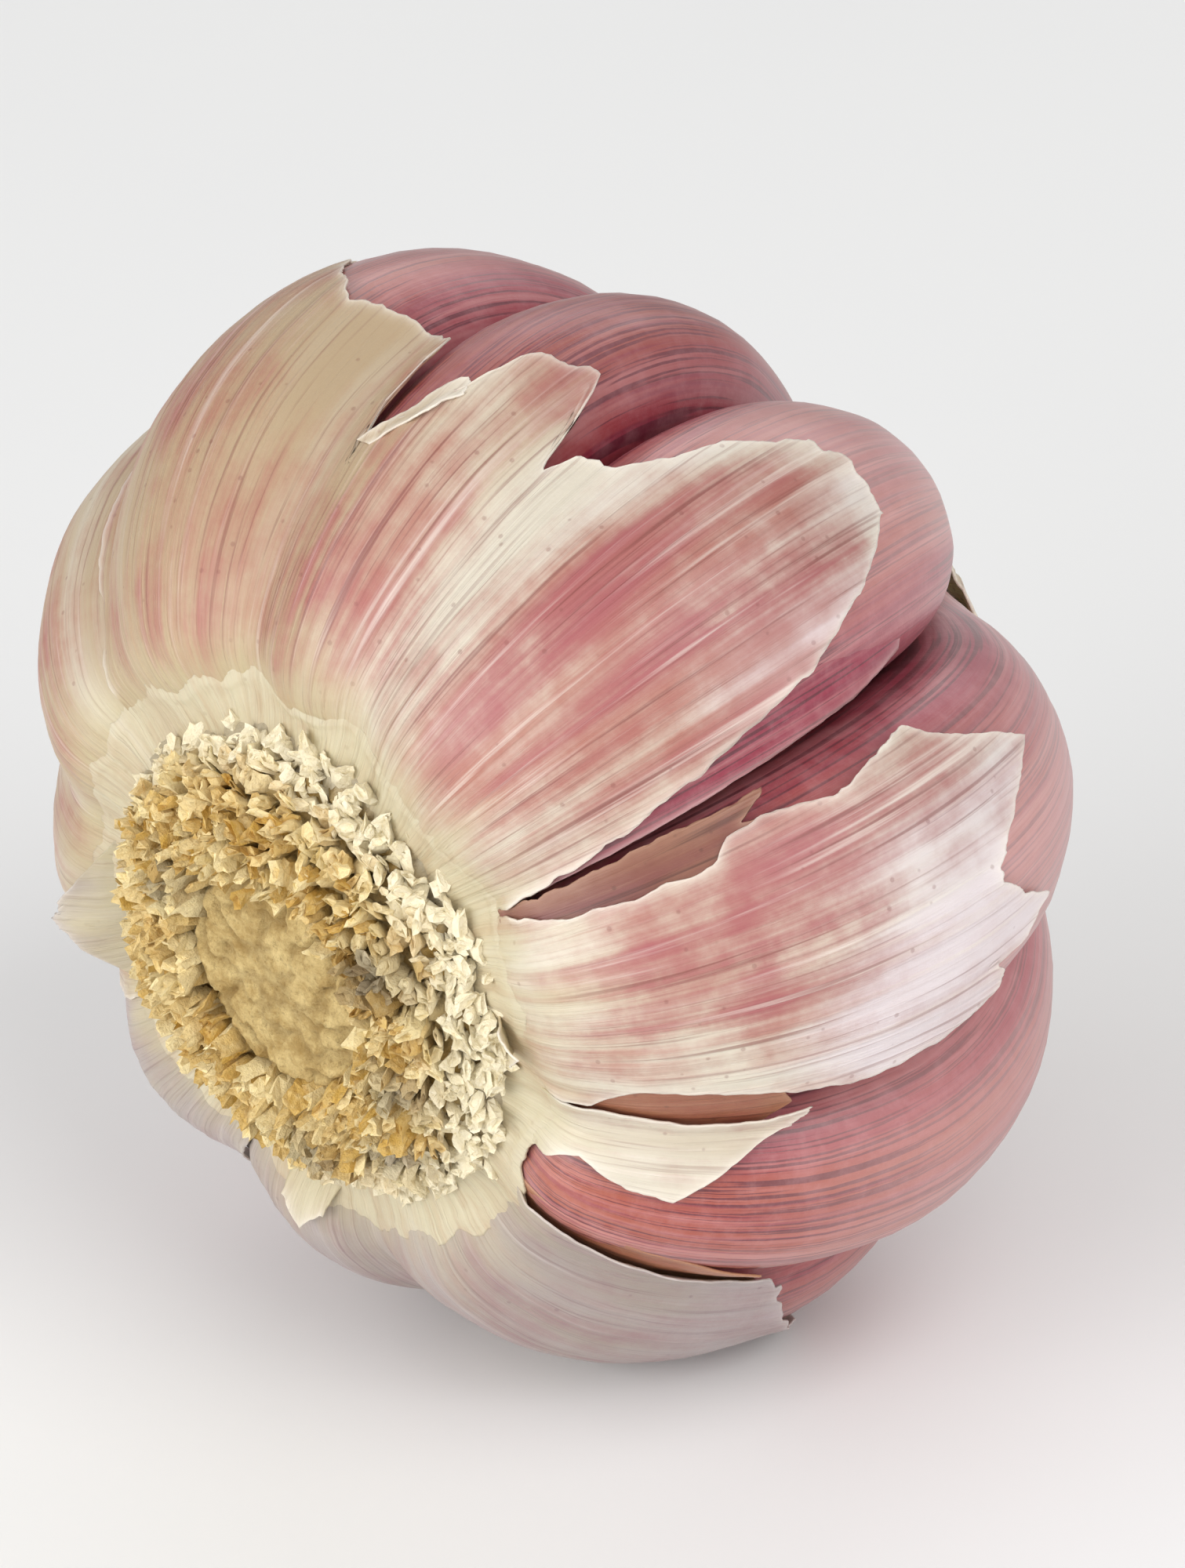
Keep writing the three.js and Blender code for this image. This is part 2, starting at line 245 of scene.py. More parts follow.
def spin_round(bm, line, steps):
    """Turns a line of points round the stalk into a closed shape."""
    profile = [bm.verts.new(point) for point in line]
    edges = [bm.edges.new(pair) for pair in zip(profile, profile[1:])]
    bmesh.ops.spin(
        bm, geom=profile + edges, axis=(0, 0, 1), cent=(0, 0, 0), angle=2 * math.pi, steps=steps,
        use_merge=True,
    )
    bmesh.ops.remove_doubles(bm, verts=bm.verts, dist=SAME_PLACE)
    bmesh.ops.recalc_face_normals(bm, faces=bm.faces)


def thicken(piece, thickness):
    wall = piece.modifiers.new("wall", "SOLIDIFY")
    wall.thickness = thickness * MM
    wall.offset = -1


# ---- Materials ----


def paint(code):
    """A colour given as RRGGBB, as the light it reflects."""
    parts = [int(code[i : i + 2], 16) / 255 for i in (0, 2, 4)]
    return tuple(p / 12.92 if p <= 0.04045 else ((p + 0.055) / 1.055) ** 2.4 for p in parts) + (1.0,)


class Finish:
    """A material, with short calls for its nodes."""

    def __init__(self, name, **sockets):
        self.material = bpy.data.materials.new(name)
        self.material.use_nodes = True
        self.tree = self.material.node_tree
        self.shader = self.tree.nodes["Principled BSDF"]
        for socket, value in sockets.items():
            self.shader.inputs[socket.replace("_", " ")].default_value = value

    def node(self, kind, inputs=(), **settings):
        node = self.tree.nodes.new(kind)
        for key, value in settings.items():
            setattr(node, key, value)
        for socket, value in dict(inputs).items():
            self.put(node.inputs[socket], value)
        return node

    def put(self, socket, value):
        if isinstance(value, bpy.types.NodeSocket):
            self.tree.links.new(value, socket)
        else:
            socket.default_value = value

    def layer(self, name, part=None):
        """A vertex layer with three parts: all of it, or one of the three."""
        out = self.node("ShaderNodeAttribute", attribute_name=name).outputs["Vector"]
        return out if part is None else self.node("ShaderNodeSeparateXYZ", {0: out}).outputs[part]

    def tone(self):
        """The vertex layer with one number: tan on the leaves, and below zero a painted pale lilac
        highlight; brown on the cloves.
        """
        return self.node("ShaderNodeAttribute", attribute_name="tone").outputs["Fac"]

    def streaks(self, scale, detail=4.0, roughness=0.6, place=(0, 0, 0), warp=0.0):
        """Noise stretched along the grain: scale is (across, along)."""
        across, along = scale
        mapping = self.node(
            "ShaderNodeMapping",
            {"Vector": self.layer("grain"), "Location": place, "Scale": (across, across, along)},
        )
        return self.node(
            "ShaderNodeTexNoise",
            {
                "Vector": mapping.outputs[0], "Scale": 1.0, "Detail": detail, "Roughness": roughness,
                "Distortion": warp,
            },
        ).outputs["Fac"]

    def noise(self, scale, detail=4.0, roughness=0.55, place=(0, 0, 0)):
        """Noise in space, with scale in cells per millimetre."""
        at = self.node("ShaderNodeTexCoord").outputs["Object"]
        mapping = self.node("ShaderNodeMapping", {"Vector": at, "Location": place})
        return self.node(
            "ShaderNodeTexNoise",
            {"Vector": mapping.outputs[0], "Scale": scale / MM, "Detail": detail, "Roughness": roughness},
        ).outputs["Fac"]

    def cells(self, scale):
        """Distance to the nearest of points strewn in space, with scale in points per millimetre."""
        at = self.node("ShaderNodeTexCoord").outputs["Object"]
        cells = self.node("ShaderNodeTexVoronoi", {"Vector": at, "Scale": scale / MM})
        return cells.outputs["Distance"]

    def band(self, value, low, high):
        """0 on low's side, 1 on high's side, and smooth between them."""
        return self.node(
            "ShaderNodeMapRange", {"Value": value, "From Min": low, "From Max": high},
            interpolation_type="SMOOTHSTEP",
        ).outputs["Result"]

    def span(self, value, low, high):
        """A share of 0 to 1 spread over low to high."""
        return self.node(
            "ShaderNodeMapRange", {"Value": value, "To Min": low, "To Max": high}
        ).outputs["Result"]

    def calc(self, operation, a, b=0.0):
        return self.node("ShaderNodeMath", {0: a, 1: b}, operation=operation).outputs[0]

    def times(self, a, b):
        return self.calc("MULTIPLY", a, b)

    def blend(self, share, under, over):
        """One colour over another, by a share. Sockets 6, 7 and 2 of the node are its colours."""
        node = self.node("ShaderNodeMix", data_type="RGBA")
        self.put(node.inputs[0], share)
        self.put(node.inputs[6], paint(under) if isinstance(under, str) else under)
        self.put(node.inputs[7], paint(over) if isinstance(over, str) else over)
        return node.outputs[2]

    def relief(self, height, distance, strength=1.0, under=None):
        """A bump of a height in millimetres."""
        inputs = {"Height": height, "Distance": distance * MM, "Strength": strength}
        if under is not None:
            inputs["Normal"] = under
        return self.node("ShaderNodeBump", inputs).outputs[0]

    def finish(self, color, roughness, normal=None):
        self.put(self.shader.inputs["Base Color"], color)
        self.put(self.shader.inputs["Roughness"], roughness)
        if normal is not None:
            self.put(self.shader.inputs["Normal"], normal)
        return self.material


def clove_skin():
    """Glossy tight skin. Washes: towards magenta, painted shade in the valleys, paleness at the ends with
    painted sheen and highlights. Tone: brown.
    """
    f = Finish(
        "clove_skin", Specular_IOR_Level=0.5, Coat_Weight=0.4, Coat_Roughness=0.3,
        Subsurface_Weight=0.12, Subsurface_Radius=(0.0016, 0.0007, 0.0005), Subsurface_Scale=1.0,
    )
    magenta, shade, pale_and_sheen = (f.layer("wash", part) for part in range(3))
    brown = f.tone()
    broad = f.streaks((7, 2.2), 3, 0.55)
    medium = f.streaks((26, 2.6), 4, 0.6, (3, 1, 7))
    fine = f.streaks((85, 5), 3, 0.55, (1, 8, 2))
    hair = f.streaks((150, 4), 2, 0.5, (4, 2, 9), warp=0.4)
    mottle = f.noise(0.9, 5, 0.7)
    tint = f.calc("ADD", magenta, f.span(broad, -0.75, 0.75))
    color = f.blend(f.band(tint, 0.05, 0.95), "A25040", "982C44")
    color = f.blend(f.times(brown, f.span(medium, 0.4, 1.0)), color, "A65A36")
    color = f.blend(f.times(f.band(medium, 0.46, 0.7), 0.45), color, "CF9390")
    color = f.blend(f.times(f.band(fine, 0.5, 0.66), 0.65), color, "86283F")
    color = f.blend(f.times(f.band(hair, 0.53, 0.6), 0.85), color, "5A1828")
    # Paler at the ends; elsewhere the paleness is a painted sheen and painted highlights.
    color = f.blend(f.times(pale_and_sheen, f.span(medium, 0.35, 1.0)), color, "DAB4B0")
    color = f.blend(f.times(f.band(mottle, 0.35, 0.75), 0.2), color, "D8A6A8")
    # Painted shade in the valleys and on the shadowed side.
    color = f.blend(f.times(shade, 0.75), color, "6E2138")
    height = f.calc("ADD", f.times(fine, 0.5), f.times(medium, 0.9))
    normal = f.relief(height, 0.14, 0.7)
    normal = f.relief(mottle, 0.05, 0.5, normal)
    return f.finish(color, f.span(mottle, 0.3, 0.52), normal)


def papery_leaf(name, cream, warm, cool, lines, base, bright="F2EADC", painted_highlight="E2D5D5"):
    """Dry striped skin. Washes: blush of colour, yellow near the plate, pale torn rim. Tone: tan, and
    below zero a painted pale lilac highlight.
    """
    f = Finish(
        name, Specular_IOR_Level=0.45, Coat_Weight=0.22, Coat_Roughness=0.34,
        Subsurface_Weight=0.1, Subsurface_Radius=(0.0012, 0.0009, 0.0006), Subsurface_Scale=1.0,
    )
    blush, yellow, rim = (f.layer("wash", part) for part in range(3))
    broad = f.streaks((6, 1.6), 3, 0.55, (2, 0, 5))
    bands = f.streaks((17, 2.0), 4, 0.6, (5, 3, 1))
    medium = f.streaks((38, 2.4), 4, 0.62, (1, 4, 6))
    fine = f.streaks((95, 3.6), 3, 0.55, (7, 1, 3))
    mottle = f.noise(0.6, 5, 0.65)
    patches = f.noise(0.2, 5, 0.6, (4, 7, 2))
    speck = f.cells(0.9)
    # Colour of the clove that shows through, in stripes.
    through = f.calc("ADD", blush, f.span(bands, -0.8, 0.8))
    through = f.calc("ADD", through, f.span(medium, -0.7, 0.7))
    through = f.calc("ADD", through, f.span(mottle, -0.35, 0.35))
    through = f.calc("ADD", through, f.span(patches, -1.0, 1.0))
    tone = f.calc("ADD", f.tone(), f.span(broad, -0.8, 0.8))
    color = f.blend(f.band(tone, 0.1, 0.9), cream, base)
    # Where the tone falls below zero, a painted pale lilac highlight.
    color = f.blend(f.band(tone, 0.0, -0.9), color, painted_highlight)
    color = f.blend(f.times(f.band(through, 0.0, 1.5), 0.92), color, warm)
    cooler = f.times(f.band(through, 0.2, 1.5), f.band(broad, 0.35, 0.65))
    color = f.blend(f.times(cooler, 0.8), color, cool)
    color = f.blend(f.times(f.band(tone, -0.2, -1.2), 0.4), color, painted_highlight)
    color = f.blend(f.times(f.band(medium, 0.53, 0.78), f.span(tone, 0.75, 0.35)), color, bright)
    strength = f.span(blush, 0.25, 0.65)
    color = f.blend(f.times(f.band(fine, 0.54, 0.68), strength), color, lines)
    color = f.blend(f.times(f.band(speck, 0.12, 0.06), 0.35), color, lines)
    color = f.blend(f.times(yellow, f.span(medium, 0.55, 0.95)), color, "C8BC93")
    scrawl = f.times(f.band(f.streaks((60, 9), 4, 0.7, (9, 3, 2), warp=0.9), 0.58, 0.66), yellow)
    color = f.blend(f.times(scrawl, 0.35), color, "8A6A50")
    color = f.blend(f.times(rim, 0.6), color, bright)
    height = f.calc("ADD", f.times(fine, 0.5), f.times(medium, 0.9))
    normal = f.relief(height, 0.16, 0.75)
    normal = f.relief(mottle, 0.1, 0.4, normal)
    return f.finish(color, f.span(mottle, 0.34, 0.6), normal)


def dry_roots():
    """Crumbly dry roots. Washes: towards the cream rim, painted shade in the gaps, groove and cracks,
    grey spots.
    """
    f = Finish("dry_roots", Specular_IOR_Level=0.25)
    cream, recess_shade, grey = (f.layer("wash", part) for part in range(3))
    own, disc = f.layer("grain", 0), f.layer("grain", 1)
    crumb = f.noise(1.6, 6, 0.7)
    fibre = f.noise(5.0, 4, 0.7, (3, 1, 2))
    color = f.blend(f.band(own, 0.0, 0.9), "D2AA54", "FAE8B4")
    color = f.blend(f.times(f.band(crumb, 0.4, 0.75), 0.6), color, "F2DFAC")
    scratch = f.noise(3.2, 6, 0.8, (5, 2, 8))
    face = f.blend(f.band(f.noise(0.5, 6, 0.75), 0.3, 0.7), "A68850", "DCC48A")
    face = f.blend(f.times(f.band(scratch, 0.5, 0.7), 0.6), face, "80683C")
    color = f.blend(disc, color, face)
    color = f.blend(f.band(cream, 0.0, 1.0), color, f.blend(crumb, "F0E2BA", "FBF4DF"))
    stain = f.times(f.band(fibre, 0.5, 0.75), f.span(cream, 0.4, 0.15))
    color = f.blend(stain, color, "8F6A30")
    color = f.blend(f.times(grey, 0.75), color, "857A70")
    # Painted shade in the gaps, the groove and the cracks.
    color = f.blend(f.times(recess_shade, 0.7), color, "5E4420")
    normal = f.relief(crumb, 0.22, 0.8)
    normal = f.relief(fibre, 0.12, 0.7, normal)
    return f.finish(color, f.span(crumb, 0.7, 0.95), normal)


CLOVE_SKIN = clove_skin()
LEAF_STRIPED = papery_leaf("striped_leaf", "D6CCB9", "A45E4E", "A0505A", "763630", "B29A7A")
LEAF_LILAC = papery_leaf(
    "lilac_leaf", "ADA09E", "A07C78", "8E6C76", "704F58", "A39589", "D2CAC4", "C0B2B8"
)
MEMBRANE = papery_leaf("brown_membrane", "9A6E56", "7E4A3A", "743842", "46261E", "8A6048", "B08870")
MEMBRANE_WARM = papery_leaf("warm_membrane", "B07858", "9A5A40", "8A4438", "5A2E20", "A07050", "C09070")
DRY_ROOTS = dry_roots()

# ---- Cloves ----

CLOVE_FACES = (96, 84)  # round a clove, and along it
CLOVE_CROWDING = 0.6  # how far the rows of faces crowd towards a clove's ends, 0 to 1
CLOVE_PLUMP = 0.6  # how far the skin stands out of the solid, under the leaves
INNER_ROUND, SIDE_ROUND = 0.8, 0.5  # powers that flatten a clove's inner side and its flanks
# Azimuths where the bare skin differs: a painted highlight on two sides, and painted shadow with brown on
# one.
LOW_SIDE, TORN_SIDE, SHADOWED_BROWN_SIDE = 38, 94, 128


def clove_point(start, end, swell, turn, along):
    """A point of a clove, with its azimuth, its reach and how far it faces outwards."""
    reach = CLOVE_TIP * (along - CLOVE_CROWDING * math.sin(2 * math.pi * along) / (2 * math.pi))
    point, normal = crest_at(reach)
    depth = VALLEY_DEPTH * bulge(reach)
    section = point - normal * depth
    facing, side = math.cos(turn), math.sin(turn)
    if facing > 0:
        section += normal * facing * (depth + swell * bulge(reach) + CLOVE_PLUMP * rounded_ends(reach, 3))
    else:
        inner = Vector((CLOVE_INNER_RADIUS, CLOVE_INNER_SQUASH * point.y))
        section = section.lerp(inner, (-facing) ** INNER_ROUND * rounded_ends(reach, CLOVE_ENDS[1]))
        side = math.copysign(abs(side) ** SIDE_ROUND, side)
    half_width = (end - start) / 2 - math.degrees(CLOVE_GAP / 2 / section.x)
    degrees = (start + end) / 2 + side * half_width * rounded_ends(reach, CLOVE_ENDS[0])
    return section, degrees, reach, facing


def add_clove(number):
    """A clove, shaped from a ball whose poles are its two ends."""
    start, swell = CLOVES[number]
    end = CLOVES[number + 1][0] if number + 1 < len(CLOVES) else CLOVES[0][0] + 360
    bm = bmesh.new()
    bmesh.ops.create_uvsphere(bm, u_segments=CLOVE_FACES[0], v_segments=CLOVE_FACES[1], radius=1)
    tone = bm.verts.layers.float.new("tone")
    grain, wash = add_layers(bm)
    for vert in bm.verts:
        turn = math.atan2(vert.co.y, vert.co.x)
        along = math.acos(clamp(vert.co.z, -1, 1)) / math.pi
        section, degrees, reach, facing = clove_point(start, end, swell, turn, along)
        ridges = 0.05 * ripple(degrees / 3, reach / 3, number) + 0.12 * ripple(degrees / 9, reach / 2, 5)
        _, normal = crest_at(reach)
        section += normal * ridges * clamp(facing)
        vert.co = around_stalk(section, degrees, reach)
        vert[grain] = grain_at(degrees, reach)
        across = abs(math.sin(turn)) if facing > 0 else 1.0
        magenta = 0.1 + 0.6 * ease(0.4, 0.95, across) + 0.35 * ease(5.0, 8.0, reach)
        # Painted shade on the sides that face into the valleys.
        shade = ease(0.1, -0.5, facing)
        # Paler towards the root end and the tip; over the middle of the outer face, a painted sheen.
        pale_and_sheen = 0.5 * ease(3.2, 1.0, reach) + 0.35 * ease(9.0, 11.5, reach)
        pale_and_sheen += 0.35 * ease(4.2, 6.4, reach) * ease(0.95, 0.4, across)
        # Painted highlights on two sides.
        pale_and_sheen += 0.45 * hump(nearest(degrees - LOW_SIDE), 28) * ease(4.0, 6.0, reach)
        pale_and_sheen += 0.4 * hump(degrees - TORN_SIDE, 14) * ease(5.5, 7.0, reach)
        # Painted shadow on one side, which also turns the skin browner.
        shadow_and_brown = hump(nearest(degrees - SHADOWED_BROWN_SIDE), 16) * ease(4.0, 5.0, reach)
        shade, pale_and_sheen = shade + 0.45 * shadow_and_brown, pale_and_sheen * (1 - 0.7 * shadow_and_brown)
        vert[wash] = Vector((magenta, shade, pale_and_sheen))
        vert[tone] = 0.8 * ease(4.2, 2.8, reach) + 0.5 * shadow_and_brown
    bmesh.ops.recalc_face_normals(bm, faces=bm.faces)
    name = f"clove_{number + 1:02d}"
    add_piece(bm, f"{name}_skin", CLOVE_SKIN, (name,))


for clove_number in range(len(CLOVES)):
    add_clove(clove_number)

# ---- Torn leaves ----

LEAF_LIFT = 0.84  # outer face of a leaf over the clove solids
LEAF_WALL = 0.09
LEAF_START = 1.6  # reach at which the leaves come out from under the plate's frill

REACH_PACE = [(1, 3.0), (2, 2.2), (3, 3.6), (4, 5.0), (6, 5.7), (8, 5.5)]  # millimetres of leaf per reach

# Low and high are a leaf's two sides as (reach, degrees), and edge is its torn edge as (degrees, reach).
# Fray is the edge's raggedness, and lip how far it stands up. Blush is how much colour shows through,
# and spots add to it: (degrees, reach, width in each, amount). Tan is a colour along the leaf, and the
# lilac line a painted pale lilac highlight along it, both as (degrees, amount). A tucked leaf goes
# under its neighbour's side.
LEAVES = {
    "wrapper_leaf_1": dict(
        faces=(230, 110), fray=0.07, lip=0.18, blush=0.62, material=LEAF_STRIPED,
        tan=[(72, 0.3), (95, 0.1), (112, 0.0), (118, 0.5), (130, 0.7), (140, 0.9), (178, 1.1)],
        lilac_highlight=[(72, 1.0), (84, 0.7), (96, 0.2), (110, 0)],
        low=[
            (1.5, 71.6), (2.45, 71.8), (3.0, 72.6), (3.8, 74.0), (4.5, 75.8), (5.3, 78.2), (5.8, 80.2),
            (6.25, 83.2), (6.6, 86), (6.8, 88.5),
        ],
        high=[(1.5, 182), (5, 181.5), (6.4, 178.5)],
        edge=[
            (88.5, 6.84), (92, 6.86), (95.5, 6.8), (99, 6.62), (101.5, 6.35), (104, 5.87), (107.5, 5.52),
            (112, 5.48), (113.5, 5.25), (114.5, 5.38), (115.8, 5.7), (118, 6.12), (121.5, 5.98),
            (123.5, 5.8), (125, 5.5), (127.5, 5.1), (132, 4.78), (132.8, 4.75), (133.6, 5.2),
            (134.6, 5.82), (140, 5.88), (148.5, 5.84), (152, 6.0), (156, 6.2), (164, 6.7), (171, 6.3),
            (178, 6.5),
        ],
        spots=[
            (86, 5.2, 12, 1.6, 0.6), (99, 4.7, 5, 1.4, 0.4), (109, 4.9, 4, 1.6, -0.6),
            (103, 6.4, 6, 0.5, -0.5), (122, 4.4, 7, 1.2, 0.35), (143, 5.6, 6, 1, -0.4),
            (132, 4.7, 4, 0.5, -0.4), (88, 6.8, 9, 0.4, -0.5), (95, 3.4, 9, 1, 0.3),
            (150, 4.2, 7, 1.2, -0.1), (165, 3.6, 9, 1, -0.4), (147, 6.3, 8, 0.7, -0.4),
            (162, 5.0, 8, 0.9, 0.3), (153, 6.4, 5, 0.5, 0.1), (146, 4.4, 4, 0.8, 0.12),
        ],
    ),
    "wrapper_leaf_2": dict(
        tucked=1, faces=(150, 90), fray=0.08, lip=0.18, blush=0.4, material=LEAF_STRIPED,
        tan=[(0, 0.7), (360, 0.7)],
        low=[(1.5, 177), (4, 178), (6, 182)],
        high=[(1.5, 252), (4, 250), (5.6, 246)],
        edge=[
            (183, 6.2), (188, 6.4), (195, 5.7), (203, 6.6), (210, 6.1), (218, 7.0), (225, 6.6),
            (231, 5.7), (238, 6.1), (246, 5.2),
        ],
        spots=[(200, 4.5, 14, 2, 0.2), (235, 5, 8, 2, 0.25)],
    ),
    "wrapper_leaf_3": dict(
        tucked=1, faces=(80, 70), fray=0.06, lip=0.21, blush=0.4, material=LEAF_LILAC,
        low=[(1.5, 246), (3.5, 248), (5, 256)],
        high=[(1.5, 285), (3.5, 283), (4.6, 282)],
        edge=[(256, 4.9), (260, 5.3), (266, 4.3), (271, 4.6), (276, 4.0), (282, 4.5)],
    ),
    "wrapper_leaf_4": dict(
        tucked=1, faces=(190, 100), fray=0.06, yellowness=0.6, lip=0.15, blush=0.4, material=LEAF_LILAC,
        low=[(1.5, 280), (4, 282), (6, 286)],
        high=[(1.5, 371), (2.9, 370), (3.6, 367), (4.3, 364.5), (5, 361), (5.2, 357)],
        edge=[
            (286, 6.3), (292, 6.8), (299, 6.5), (306, 7.1), (312, 6.4), (317, 6.6), (325, 7.0),
            (334, 6.3), (341, 5.9), (347, 5.6), (357, 5.2),
        ],
        lilac_highlight=[(280, 0.0), (330, 0.3), (352, 1.0)],
        spots=[(300, 4.5, 14, 2, 0.1), (345, 4, 10, 1.5, 0.15)],
    ),
    "wrapper_leaf_5": dict(
        faces=(48, 64), fray=0.05, lip=0.15, blush=0.2, material=LEAF_STRIPED,
        tan=[(20, 0.1), (40, 0.1)],
        low=[
            (1.5, 22.8), (2.35, 22.7), (2.9, 26), (3.4, 22.6), (3.8, 22.1), (4.1, 25.5), (4.4, 29),
            (4.6, 31),
        ],
        high=[(1.5, 35.6), (3, 35.2), (3.4, 34.2), (3.8, 33.0), (4.4, 32.7), (4.8, 34)],
        edge=[(31, 4.62), (34, 4.8)],
    ),
    "wrapper_leaf_6": dict(
        faces=(130, 110), fray=0.07, lip=0.18, blush=0.58, material=LEAF_STRIPED,
        tan=[(36, 0.1), (71, 0.3)],
        lilac_highlight=[(36, 1.2), (60, 0.9), (71, 0.3)],
        low=[
            (1.5, 36.2), (3, 36.6), (3.2, 39), (3.5, 41), (4.1, 40), (4.7, 38), (5.2, 37), (5.7, 38),
            (6.1, 39.5),
        ],
        high=[
            (1.5, 71.0), (2.5, 70.5), (3.2, 68), (3.8, 67.3), (4.5, 67), (4.65, 69.2), (4.95, 69.4),
            (5.4, 68), (6.1, 70),
        ],
        edge=[
            (39.5, 6.1), (41.5, 6.28), (43.5, 6.22), (44.5, 6.53), (46.5, 6.8), (52, 6.25), (55.5, 6.35),
            (60, 6.85), (62, 7.1), (67, 6.4), (70, 6.1),
        ],
        spots=[
            (62, 4.9, 7, 1.2, 0.6), (50, 4.6, 5, 1.5, 0.4), (42, 4.2, 3, 1.4, -0.4),
            (52, 6.3, 9, 0.6, -0.4), (55, 5.5, 5, 0.7, -0.45),
        ],
    ),
}


SOFT_SPAN = 14  # columns to each side that smooth the torn edge
RIM_SPAN = 12  # columns to each side where the nearest bit of torn edge is looked for
SIDE_FRAY = 7  # raggedness of the sides, in degrees for each unit of fray
LIP_WIDTH, RIM_WIDTH = 0.8, 0.17  # millimetres of leaf that stand up, and that are pale, at an edge
HELD_DOWN = 4  # how far from an edge the sides count as being where the plate holds them


def add_leaf(
    name, faces, fray, lip, blush, material, low, high, edge, spots=(), tucked=0, start=LEAF_START,
    lift=LEAF_LIFT, fly=0.0, yellowness=1.0, tan=((0, 0.5), (360, 0.5)),
    lilac_highlight=((0, 0.0), (360, 0.0)), slot="papery_leaf", nodes=(),
):
    """A leaf or a scrap of one, from its start reach to its torn edge. Fly lifts the torn end, and
    yellowness is how yellow it is near the plate."""
    shares = [
        ((degrees - follow(low, reach)) / (follow(high, reach) - follow(low, reach)), reach)
        for degrees, reach in edge
    ]
    seed = 7.3 * sum(map(ord, name))

    def sides(reach):
        left = follow(low, reach) + SIDE_FRAY * fray * ripple(reach * 5, seed, 3, 5)
        return left, follow(high, reach) + SIDE_FRAY * fray * ripple(reach * 5, seed, 9, 5)

    brink = []  # the torn edge at each column, as (degrees, reach)
    for column in range(faces[0] + 1):
        u = column / faces[0]
        torn = follow(shares, u) + fray * ripple(column / 7, seed, 0, 5)
        brink.append((lerp(*sides(torn), u), torn))
    soft = []  # the same edge without its small teeth, which the rest of the leaf follows
    for column in range(faces[0] + 1):
        near = [torn for _, torn in brink[max(0, column - SOFT_SPAN) : column + SOFT_SPAN + 1]]
        soft.append(sum(near) / len(near))
    bm = bmesh.new()
    bmesh.ops.create_grid(bm, x_segments=faces[0], y_segments=faces[1], size=0.5)
    tone = bm.verts.layers.float.new("tone")
    grain, wash = add_layers(bm)
    for vert in bm.verts:
        u, v = vert.co.x + 0.5, (0.5 - vert.co.y) ** 1.25
        column = round(u * faces[0])
        reach = lerp(soft[column], start, v) + (brink[column][1] - soft[column]) * (1 - v) ** 5
        left, right = sides(reach)
        degrees = lerp(left, right, u)
        point, _ = crest_at(reach)
        width, pace = math.radians(1) * point.x, follow(REACH_PACE, reach)
        held = HELD_DOWN * ease(2.6, 1.6, reach) * (start < 2)
        torn_rim = min(
            math.hypot((degrees - at) * width, (reach - torn) * pace)
            for at, torn in brink[max(0, column - RIM_SPAN) : column + RIM_SPAN + 1]
        )
        rim = min(torn_rim, (degrees - left) * width + held, (right - degrees) * width + held)
        stand = lip * math.exp(-rim / LIP_WIDTH) * (0.8 + 1.4 * ripple(degrees / 7, reach, seed))
        wave = 0.1 * ripple(degrees / 9, reach / 1.5, seed) + 0.04 * ripple(degrees / 2, reach / 2, 2)
        tuck = 0.3 * ease(5, 1, degrees - left) * ease(5.4, 4.8, reach) * tucked
        sink = 0.12 * ease(2.2, LEAF_START, reach) + tuck
        rise = lift + stand * (1 - tuck * 3) + wave - sink + fly * (1 - v) ** 2
        vert.co = over_cloves(degrees, reach, rise)
        vert[grain] = grain_at(degrees, reach)
        # Tan, less the painted lilac highlight on the outer part of the leaf.
        vert[tone] = follow(tan, degrees) - follow(lilac_highlight, degrees) * ease(4.0, 5.8, reach)
        tint = blush
        for spot_degrees, spot_reach, wide, long, amount in spots:
            away = ((degrees - spot_degrees) / wide) ** 2 + ((reach - spot_reach) / long) ** 2
            tint += amount * math.exp(-away)
        yellow = yellowness * ease(3.5, 1.6, reach + 0.5 * ripple(degrees / 6, reach, 4))
        vert[wash] = Vector((tint, yellow, math.exp(-rim / RIM_WIDTH)))
    face_outwards(bm)
    piece = add_piece(bm, f"{name}_skin", material, nodes)
    thicken(piece, LEAF_WALL)


for leaf_name, leaf_shape in LEAVES.items():
    add_leaf(leaf_name, nodes=(leaf_name,), **leaf_shape)

